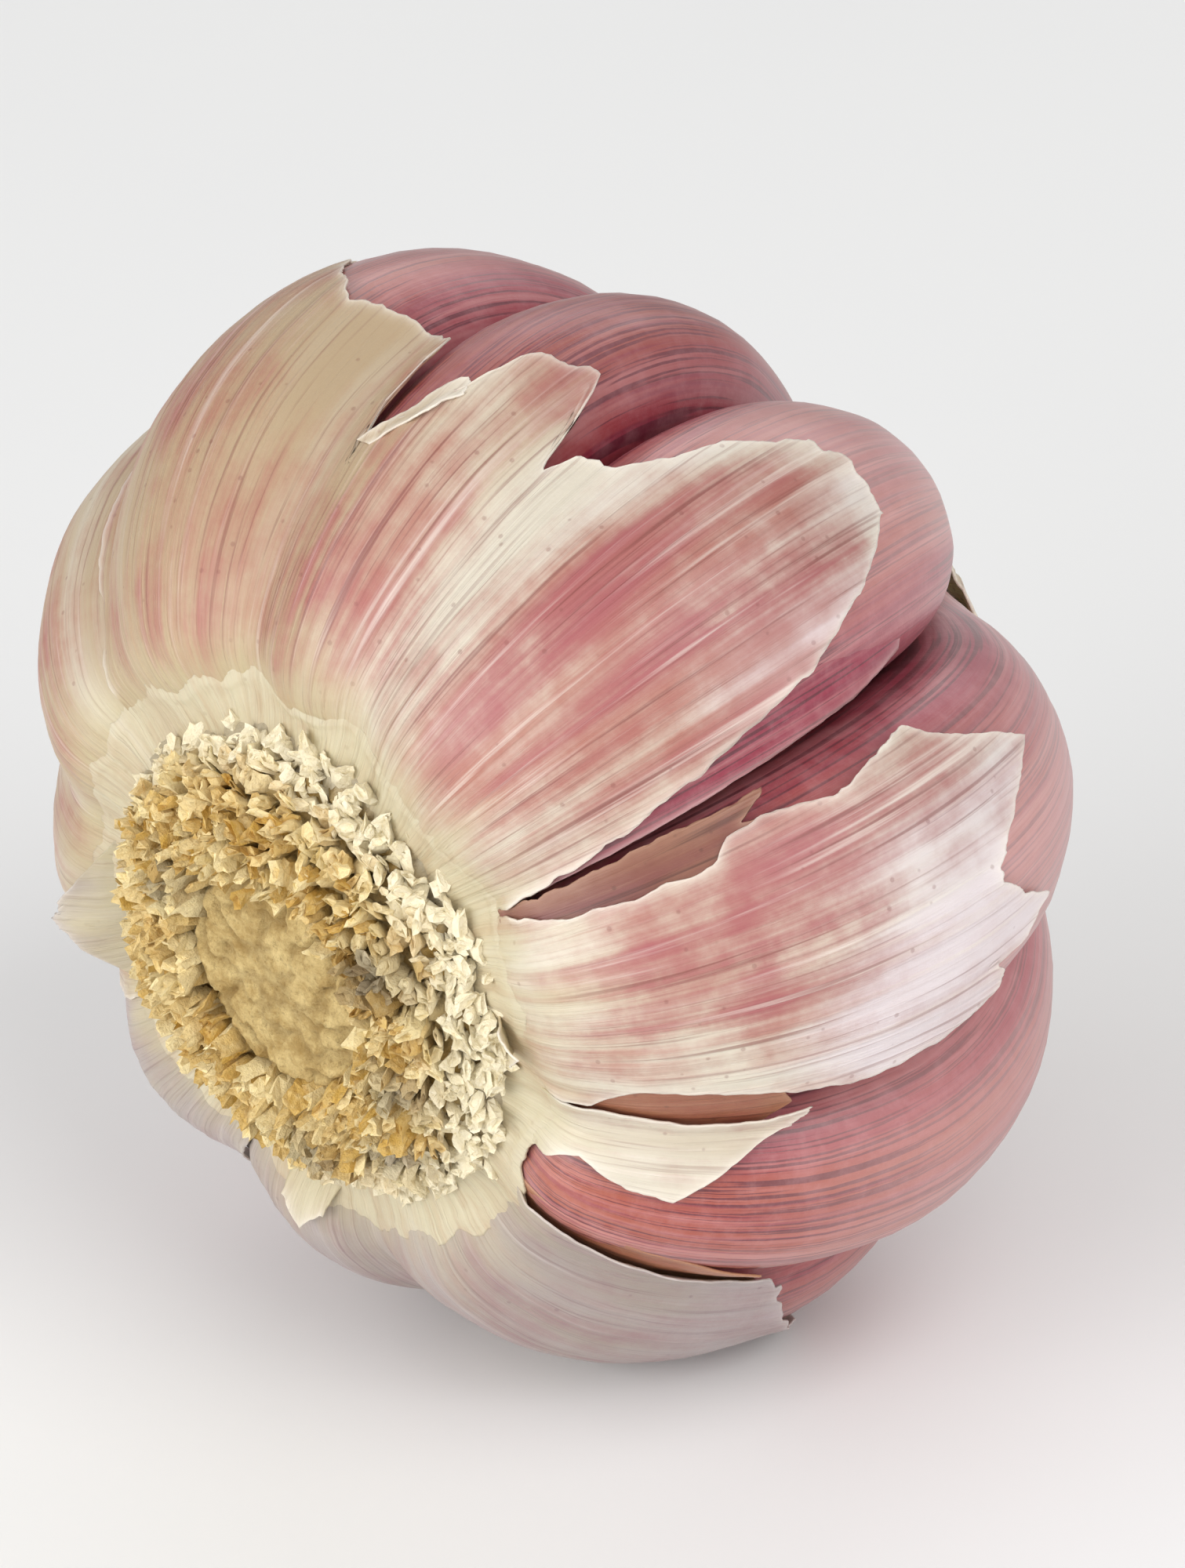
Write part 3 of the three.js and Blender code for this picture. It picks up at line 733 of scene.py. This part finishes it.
# Scraps of other layers: brown membranes in the tears between the cloves, a folded lip, a strip of
# crimson clove skin beside the deepest tear, and loose flakes.
SCRAPS = {
    "window_membrane": dict(
        faces=(30, 56), fray=0.03, lip=0.05, blush=0.8, material=MEMBRANE_WARM, start=2.2, lift=0.62,
        low=[(2.3, 32), (3, 29.5), (4, 29.5), (4.9, 31)], yellowness=0.0,
        high=[(2.3, 38.5), (3, 40), (4, 42), (4.9, 40)],
        edge=[(31, 4.4), (35, 4.65), (40, 4.5)],
    ),
    "side_membrane": dict(
        faces=(40, 60), fray=0.03, lip=0.05, blush=0.8, material=MEMBRANE_WARM, start=2.2, lift=0.6,
        low=[(2.3, 360), (3, 356), (4, 354), (4.8, 354)], yellowness=0.0,
        high=[(2.3, 373), (3, 373), (4, 370), (4.8, 366)],
        edge=[(354, 4.7), (358, 5.0), (362, 4.85), (366, 4.75)],
    ),
    "folded_lip": dict(
        faces=(14, 50), fray=0.05, lip=0.35, blush=0.0, material=LEAF_STRIPED, start=4.72, lift=0.93,
        low=[(4.7, 131.0), (5.1, 126.5), (5.5, 123.8), (5.85, 122.6)], yellowness=0.0,
        high=[(4.7, 133.2), (5.1, 128.8), (5.5, 126.2), (5.85, 123.8)],
        edge=[(124.3, 5.35), (126.8, 5.42)],
    ),
    "crimson_fold": dict(
        faces=(30, 90), fray=0.02, lip=0.0, blush=0.95, material=CLOVE_SKIN, start=2.3, lift=0.64,
        tan=[(0, 0), (360, 0)], slot="clove_skin",
        low=[(2.3, 71.9), (3, 72.3), (4, 72.9), (5, 73.5), (6, 74.4), (6.8, 76)], yellowness=0.0,
        high=[(2.3, 74), (3, 76), (4, 78), (5, 80), (6, 83), (6.8, 85)], fly=-1.0,
        edge=[(76, 6.8), (80, 7.0), (85, 7.0)],
    ),
    "tear_membrane": dict(
        faces=(30, 70), fray=0.07, lip=0.1, blush=1.0, material=MEMBRANE, start=2.2, lift=0.72,
        low=[(2.3, 69.5), (3, 66), (4, 65), (5.2, 67.5)], yellowness=0.0,
        high=[(2.3, 71.9), (3, 71.6), (4, 72.2), (5.2, 71.6)],
        edge=[(67.5, 4.6), (69, 4.95), (70, 4.85), (71.6, 5.05)],
    ),
    "loose_flap": dict(
        faces=(70, 50), fray=0.04, lip=0.12, blush=0.25, material=LEAF_LILAC, start=1.5, lift=0.9,
        low=[(1.5, 212), (2.2, 221), (2.8, 231)], fly=0.8,
        high=[(1.5, 258), (2.2, 248), (2.8, 238)],
        edge=[(231, 2.75), (234, 2.95), (238, 2.7)],
    ),
    "rim_flake_1": dict(
        faces=(30, 24), fray=0.05, lip=0.12, blush=0.1, material=LEAF_STRIPED, start=1.3, lift=0.95,
        low=[(1.3, 40), (2.3, 43)], high=[(1.3, 52), (2.3, 50)], fly=0.5,
        edge=[(43, 2.2), (46, 2.45), (50, 2.1)],
    ),
    "rim_flake_2": dict(
        faces=(30, 24), fray=0.05, lip=0.12, blush=0.1, material=LEAF_STRIPED, start=1.3, lift=0.95,
        low=[(1.3, 296), (2.5, 299)], high=[(1.3, 311), (2.5, 307)], fly=0.4,
        edge=[(299, 2.3), (303, 2.65), (307, 2.35)],
    ),
}
for scrap_name, scrap_shape in SCRAPS.items():
    add_leaf(scrap_name, **scrap_shape)

# ---- Root plate ----

# The plate's section as (radius, height): its face out to the rim, and the turn under the rim.
PLATE_FACE = [
    (0, 15.6), (3.6, 15.7), (4.4, 15.6), (4.9, 15.0), (5.6, 15.3), (7.6, 14.8), (9.4, 14.0),
    (10.4, 13.4),
]
PLATE_UNDER = [(10.7, 12.7), (10.2, 11.9), (8.6, 10.4)]
PLATE_RING = 0.16  # radius from one ring of vertices to the next
PLATE_STEPS = 200
ROOT_COUNT = 1100
ROOT_RING = (4.75, 9.9)  # radii between which the stubs stand
INNER_STUBS, RIM_STUBS = (1.0, 1.9), (0.45, 1.0)  # lengths near the middle and at the cream rim
ACROSS = 1.57  # the turn that lays a stub's flat side across the ring
STUB_SUNK = 0.3  # depth of a stub's foot in the plate
GOLDEN_ANGLE = 2.399963
# Grey spots, as (degrees, radius, width).
GREY_SPOTS = [(66, 6.3, 1.5), (22, 6.6, 1.2), (318, 7.3, 1.3), (352, 7.6, 1.0), (190, 5.6, 0.8)]


def plate_height(radius):
    """Height of the plate's face at a radius."""
    return follow(PLATE_FACE, radius)


def plate_washes(degrees, radius):
    """How cream and how grey the plate is at a place."""
    lean = 0.7 * math.cos(math.radians(degrees - 50))
    cream = ease(7.5, 9.6, radius + lean + 0.8 * ring_noise(degrees, 30, radius / 2))
    grey = 0.0
    for spot_degrees, spot_radius, wide in GREY_SPOTS:
        angle = math.radians(degrees - spot_degrees)
        away = radius**2 + spot_radius**2 - 2 * radius * spot_radius * math.cos(angle)
        grey = max(grey, math.exp(-away / wide**2 * 1.5))
    return cream, grey


def add_root_pattern(bm):
    """A stub of length 1 and radius 1, hollow at its torn end, which the others are copied from."""
    bmesh.ops.create_cone(bm, cap_ends=True, segments=7, radius1=1.0, radius2=0.75, depth=1.0)
    bmesh.ops.translate(bm, vec=(0, 0, 0.5), verts=bm.verts)
    sides = [edge for edge in bm.edges if abs(edge.verts[0].co.z - edge.verts[1].co.z) > 0.5]
    bmesh.ops.subdivide_edges(bm, edges=sides, cuts=3)
    tops = [face for face in bm.faces if all(vert.co.z > 0.99 for vert in face.verts)]
    bmesh.ops.inset_individual(bm, faces=tops, thickness=0.32)
    for face in tops:
        for vert in face.verts:
            vert.co.z = 0.88
    return bm.verts[:] + bm.edges[:] + bm.faces[:]


def add_root_plate():
    """The cracked plate under the stubs, with a flat middle where the stem was cut."""
    bm = bmesh.new()
    grain, wash = add_layers(bm)
    rings = round(PLATE_FACE[-1][0] / PLATE_RING)
    radii = [i * PLATE_RING for i in range(rings + 1)]
    line = [Vector((radius, 0, plate_height(radius))) for radius in radii]
    line += [Vector((radius, 0, height)) for radius, height in PLATE_UNDER]
    line.append(Vector((0, 0, PLATE_UNDER[-1][1])))
    spin_round(bm, line, PLATE_STEPS)
    for vert in bm.verts:
        x, y, z = vert.co
        radius, degrees = math.hypot(x, y), math.degrees(math.atan2(y, x))
        rough = 0.32 * ripple(x * 0.8, y * 0.8, 3) + 0.22 * ripple(x * 2.6, y * 2.6, 8)
        crack = 0.35 * ease(0.25, 0.0, abs(ripple(x * 0.55, y * 0.55, 21, 2)))
        if z > 12:
            vert.co.z += rough * lerp(0.45, 1.0, ease(3.8, 4.8, radius)) - crack * ease(1.0, 3.5, radius)
        cream, grey = plate_washes(degrees, radius)
        # Painted shade beyond the disc, under the stubs, and in the cracks.
        groove_shade = ease(4.2, 4.9, radius) * 0.8
        vert[grain] = Vector((0.35 + 0.5 * ripple(x / 2, y / 2, 5), ease(4.8, 4.3, radius), 0))
        vert[wash] = Vector((cream * ease(9, 10.5, radius), max(groove_shade, crack * 1.2), 0.5 * grey))
    add_piece(bm, "root_plate_core", DRY_ROOTS, ("root_plate",))


def add_root_stubs():
    """Trimmed root stubs, set in a spiral over the ring, each with its own crinkle, twist and lean."""
    bm = bmesh.new()
    grain, wash = add_layers(bm)
    chance = random.Random(7)
    pattern = add_root_pattern(bm)
    for i in range(ROOT_COUNT):
        share = (i + 0.5) / ROOT_COUNT
        radius = math.sqrt(lerp(ROOT_RING[0] ** 2, ROOT_RING[1] ** 2, share))
        radius += chance.uniform(-0.3, 0.3)
        angle = i * GOLDEN_ANGLE + chance.uniform(-0.05, 0.05)
        cream, grey = plate_washes(math.degrees(angle), radius)
        spread = 1 + 0.05 * math.cos(angle - math.radians(50)) * ease(6, 9.5, radius)
        length = lerp(chance.uniform(*INNER_STUBS), chance.uniform(*RIM_STUBS), cream)
        width = lerp(chance.uniform(0.34, 0.66), chance.uniform(0.32, 0.66), cream)
        flat = chance.uniform(0.22, 0.65)
        lean = lerp(0.3, 1.0, ease(5, 10, radius)) + chance.uniform(-0.45, 0.35)
        twist, bend = chance.uniform(-1.6, 1.6), chance.uniform(-0.5, 0.5)
        shade = chance.uniform(0, 1)
        seed = chance.uniform(0, 500)
        copied = bmesh.ops.duplicate(bm, geom=pattern)["geom"]
        placing = (
            Matrix.Rotation(angle, 4, "Z")
            @ Matrix.Translation((radius * spread, 0, plate_height(radius) - STUB_SUNK))
            @ Matrix.Rotation(chance.uniform(-0.7, 0.7), 4, "Z")
            @ Matrix.Rotation(lean, 4, "Y")
            @ Matrix.Rotation(chance.uniform(-0.9, 0.9) + ACROSS, 4, "Z")
        )
        for vert in copied:
            if not isinstance(vert, bmesh.types.BMVert):
                continue
            x, y, along = vert.co
            crinkle = 1 + 0.75 * ripple(x * 0.9 + seed, y * 0.9, along * 1.8, 3)
            turn = twist * along
            px = (x * math.cos(turn) - y * math.sin(turn) * flat) * width * crinkle
            py = (x * math.sin(turn) + y * math.cos(turn) * flat) * width * crinkle
            pz = along * length * (1 + 0.25 * ripple(x * 1.2 + seed, y * 1.2, 4, 2))
            vert.co = placing @ Vector((px + bend * along**2 * width, py, pz))
            vert[grain] = Vector((shade, 0, 0))
            # Painted shade at the foot of each stub, lighter among the cream ones.
            foot_shade = lerp(0.9, 0.3, cream) * ease(0.55, 0.1, along)
            vert[wash] = Vector((cream, foot_shade, grey * ease(0.2, 0.6, along + 0.2)))
    spare = [vert for vert in pattern if isinstance(vert, bmesh.types.BMVert)]
    bmesh.ops.delete(bm, geom=spare, context="VERTS")
    add_piece(bm, "dry_root_stubs", DRY_ROOTS, smooth=False)


FRILL_WALL = 0.12


def tube(columns, rows, place):
    """A sheet that runs round the stalk. place(degrees, v) gives its points, with their layers."""
    bm = bmesh.new()
    bmesh.ops.create_grid(bm, x_segments=columns, y_segments=rows, size=0.5)
    grain, wash = add_layers(bm)
    for vert in bm.verts:
        degrees, v = 360 * (vert.co.x + 0.5), 0.5 - vert.co.y
        vert.co, vert[grain], vert[wash] = place(degrees, v)
    bmesh.ops.remove_doubles(bm, verts=bm.verts, dist=SAME_PLACE)
    bmesh.ops.recalc_face_normals(bm, faces=bm.faces)
    return bm


def add_plate_frill():
    """Papery rim of the plate, which the leaves grow out of."""

    def place(degrees, v):
        outer = 2.3 + 0.35 * ring_noise(degrees, 26, 3, 5)
        reach = lerp(outer, 1.5, v)
        lumps = 0.16 * ring_noise(degrees, 90, reach * 1.7, 4)
        lumps += 0.1 * ring_noise(degrees, 250, reach * 4, 3)
        rise = LEAF_LIFT + lerp(-0.03, 0.09, ease(0, 0.3, v)) + 0.5 * lumps * ease(0.1, 0.6, v)
        low = over_cloves(degrees, reach, rise)
        high = around_stalk(Vector((9.2, 13.8 + lumps)), degrees, 1.5)
        pits = ease(0.05, 0.16, -lumps) * ease(0.25, 0.5, v)
        wash = Vector((0.45 + 0.5 * pits, lerp(0.72, 0.95, v), 0.6 * ease(0.6, 1.0, v) * (1 - pits)))
        return low.lerp(high, ease(0.35, 1.0, v)), grain_at(degrees, reach), wash

    bm = tube(480, 26, place)
    top = max(bm.faces, key=lambda face: face.calc_center_median().z)
    if top.normal.z < 0:
        bmesh.ops.reverse_faces(bm, faces=bm.faces)
    piece = add_piece(bm, "plate_frill", LEAF_STRIPED)
    thicken(piece, FRILL_WALL)


add_root_plate()
add_root_stubs()
add_plate_frill()

# ---- Neck ----

LEAF_NECK = papery_leaf("neck_leaf_paper", "D6C8AA", "A87C68", "9C6C78", "7E543E", "BFA980")
SHEATH_WALL = 0.13
SHEATH_LAYERS = [  # hem reach, lift over the cloves, reach of the cut end, seed
    (10.3, 0.95, 13.1, 1.0), (10.9, 0.6, 13.3, 5.0), (11.8, 0.3, 13.45, 9.0), (12.5, -0.3, 13.7, 3.0),
    (12.7, -0.75, 13.9, 7.0),
]


def add_sheath_layer(number, hem, lift, cut, seed):
    """One layer of pleated leaf, from its ragged hem on the cloves to its cut end at the stalk."""

    def place(degrees, v):
        rag = 0.8 * ring_noise(degrees, 8, seed) + 0.22 * ring_noise(degrees, 60, seed + 2)
        tongue = 0.7 * ease(0.25, 0.6, ring_noise(degrees, 7, seed + 4, 2))
        lower = hem + rag - tongue + 1.7 * hump(degrees - 74, 42)
        upper = min(cut + 0.25 * ring_noise(degrees, 30, seed + 7), NECK_CUT)
        reach = lerp(upper, lower, v)
        pleat = 0.22 * ring_noise(degrees, 34, seed) + 0.12 * ring_noise(degrees + reach * 2, 90, seed)
        gather = ease(9.5, 12.5, reach)
        close = lift * (1 - 0.85 * ease(11.8, 13.1, reach)) if lift > 0 else lift
        rise = max(min(0.12, lift), close + pleat * (0.4 + 0.5 * gather))
        rim = (reach - lower) * 4.0
        wash = Vector((0.45 - 0.1 * gather, 0.0, math.exp(-rim / 0.3)))
        return over_cloves(degrees, reach, rise), grain_at(degrees, reach), wash

    bm = tube(240, 44, place)
    face_outwards(bm)
    nodes = ("neck_sheath",) if number == 1 else ()
    piece = add_piece(bm, f"neck_leaf_{number}", LEAF_NECK, nodes)
    thicken(piece, SHEATH_WALL)


for layer_number, layer_shape in enumerate(SHEATH_LAYERS, 1):
    add_sheath_layer(layer_number, *layer_shape)


def stalk_finish():
    """Fibrous cut stalk. Washes: brown ring, pith of the cut end."""
    f = Finish("cut_stalk", Specular_IOR_Level=0.35)
    fibres = f.streaks((60, 3), 4, 0.6)
    ends = f.noise(2.2, 5, 0.65)
    ring, pith = (f.layer("wash", part) for part in range(2))
    color = f.blend(fibres, "C9BC8A", "E4DAB4")
    color = f.blend(pith, color, f.blend(ends, "D8C89A", "F0E8CC"))
    color = f.blend(f.times(ring, 0.7), color, "9A7B4C")
    color = f.blend(f.times(f.band(ends, 0.55, 0.7), 0.4), color, "8C7048")
    normal = f.relief(f.calc("ADD", fibres, ends), 0.2, 0.8)
    return f.finish(color, f.span(ends, 0.55, 0.85), normal)


STALK_STEPS = 96
CUT_RINGS = (0.98, 0.93, 0.86, 0.78, 0.68, 0.56, 0.42, 0.28, 0.14)  # rings of the cut end, of its radius


def add_stalk():
    """The fluted flower stalk, from the plate to its dished, cut end."""
    bottom = CREST[-1][1] - STALK_PROUD
    tip = STALK_RADIUS * STALK_TAPER
    bm = bmesh.new()
    grain, wash = add_layers(bm)
    side = [Vector((STALK_RADIUS, 0, STALK_TOP)), Vector((STALK_RADIUS, 0, 0))]
    side += [Vector((tip, 0, bottom + 0.3 * i)) for i in range(12, 0, -1)]
    end = [Vector((tip * share, 0, bottom)) for share in CUT_RINGS]
    spin_round(bm, [Vector((0, 0, STALK_TOP))] + side + end + [Vector((0, 0, bottom))], STALK_STEPS)
    for vert in bm.verts:
        x, y, z = vert.co
        radius, degrees = math.hypot(x, y), math.degrees(math.atan2(y, x))
        low = ease(bottom + 3, bottom, z)
        if radius > 2.2:
            flute = 1 + 0.035 * ring_noise(degrees, 26, 4)
            vert.co.x, vert.co.y = x * flute, y * flute
        ring = ease(0.35, 0.0, abs(radius - 1.9)) * ease(bottom + 0.3, bottom, z)
        dish = 0.35 * ease(2.2, 1.2, radius) * low
        vert.co.z += (dish + 0.12 * ripple(x * 1.4, y * 1.4, 2)) * ease(bottom + 0.2, bottom, z)
        vert[grain] = grain_at(degrees, z / 4)
        vert[wash] = Vector((ring, ease(bottom + 0.15, bottom, z), 0))
    add_piece(bm, "cut_flower_stalk", stalk_finish(), ("flower_stalk",))


add_stalk()

# ---- Camera, light and floor ----


def turned(vector):
    """A direction of the bulb after it is laid down."""
    return (LAYING.to_3x3() @ Vector(vector)).normalized()


VIEW_START = math.radians(82.5)  # azimuth on the bulb that the viewing directions are counted from
VIEW_AXES = Matrix((
    (math.cos(VIEW_START), -math.sin(VIEW_START), 0),
    (math.sin(VIEW_START), math.cos(VIEW_START), 0),
    (0, 0, 1),
))
VIEW_RIGHT = turned(VIEW_AXES @ Vector((0.4815, -0.5446, -0.687)))
VIEW_UP = turned(VIEW_AXES @ Vector((0.3126, 0.8389, -0.446)))
VIEW_BACK = turned(VIEW_AXES @ Vector((0.8188, 0.0, 0.574)))
LENS = 200.0
FRAME_HEIGHT = 0.0635  # how much the camera takes in, at the bulb
SENSOR = 36.0
LIGHT_AIM = Vector((0, 0, 0.02))
FLOOR_REACH = 3.0


def add_camera():
    """A long lens that looks at the middle of the solids."""
    data = bpy.data.cameras.new("camera")
    data.lens = LENS
    data.sensor_width = SENSOR
    data.sensor_fit = "AUTO"
    camera = bpy.data.objects.new("camera", data)
    bpy.context.scene.collection.objects.link(camera)
    aim = (solid_low + solid_high) / 2
    turn = Matrix((VIEW_RIGHT, VIEW_UP, VIEW_BACK)).transposed().to_4x4()
    distance = FRAME_HEIGHT * LENS / SENSOR
    camera.matrix_world = Matrix.Translation(aim + VIEW_BACK * distance) @ turn
    data.clip_start, data.clip_end = 0.01, 20
    bpy.context.scene.camera = camera


def add_light(name, place, size, power):
    """A white panel that faces the bulb."""
    data = bpy.data.lights.new(name, "AREA")
    data.shape = "RECTANGLE"
    data.size, data.size_y = size
    data.energy = power
    light = bpy.data.objects.new(name, data)
    light.location = place
    light.rotation_mode = "QUATERNION"
    light.rotation_quaternion = (LIGHT_AIM - place).to_track_quat("-Z", "Y")
    bpy.context.scene.collection.objects.link(light)


def add_floor():
    """A light grey card under the bulb."""
    bm = bmesh.new()
    bmesh.ops.create_grid(bm, x_segments=8, y_segments=8, size=FLOOR_REACH)
    mesh = bpy.data.meshes.new("floor")
    bm.to_mesh(mesh)
    bm.free()
    f = Finish("floor_card", Specular_IOR_Level=0.2)
    mesh.materials.append(f.finish(f.blend(f.noise(0.02), "ECECEC", "EFEFEE"), 0.7))
    floor = bpy.data.objects.new("floor", mesh)
    bpy.context.scene.collection.objects.link(floor)


add_camera()
add_floor()
ahead = Vector((VIEW_BACK.x, VIEW_BACK.y, 0)).normalized()
beside = Vector((VIEW_RIGHT.x, VIEW_RIGHT.y, 0)).normalized()
add_light("key", ahead * 0.36 + beside * 0.24 + Vector((0, 0, 0.42)), (0.4, 0.4), 1.65)
add_light("fill", ahead * 0.15 - beside * 0.42 + Vector((0, 0, 0.32)), (0.5, 0.5), 0.7)
add_light("low", VIEW_BACK * 0.32 - VIEW_RIGHT * 0.34 - VIEW_UP * 0.06, (0.4, 0.4), 1.6)
add_light("side", VIEW_BACK * 0.36 + VIEW_RIGHT * 0.34 - VIEW_UP * 0.04, (0.3, 0.3), 0.4)
add_light("back", -ahead * 0.45 + beside * 0.1 + Vector((0, 0, 0.35)), (0.5, 0.3), 0.6)
world = bpy.data.worlds.new("room")
world.use_nodes = True
background = world.node_tree.nodes["Background"]
background.inputs["Color"].default_value = (1.0, 1.0, 1.0, 1.0)
background.inputs["Strength"].default_value = 0.42
bpy.context.scene.world = world
bpy.context.scene.view_settings.view_transform = "Standard"
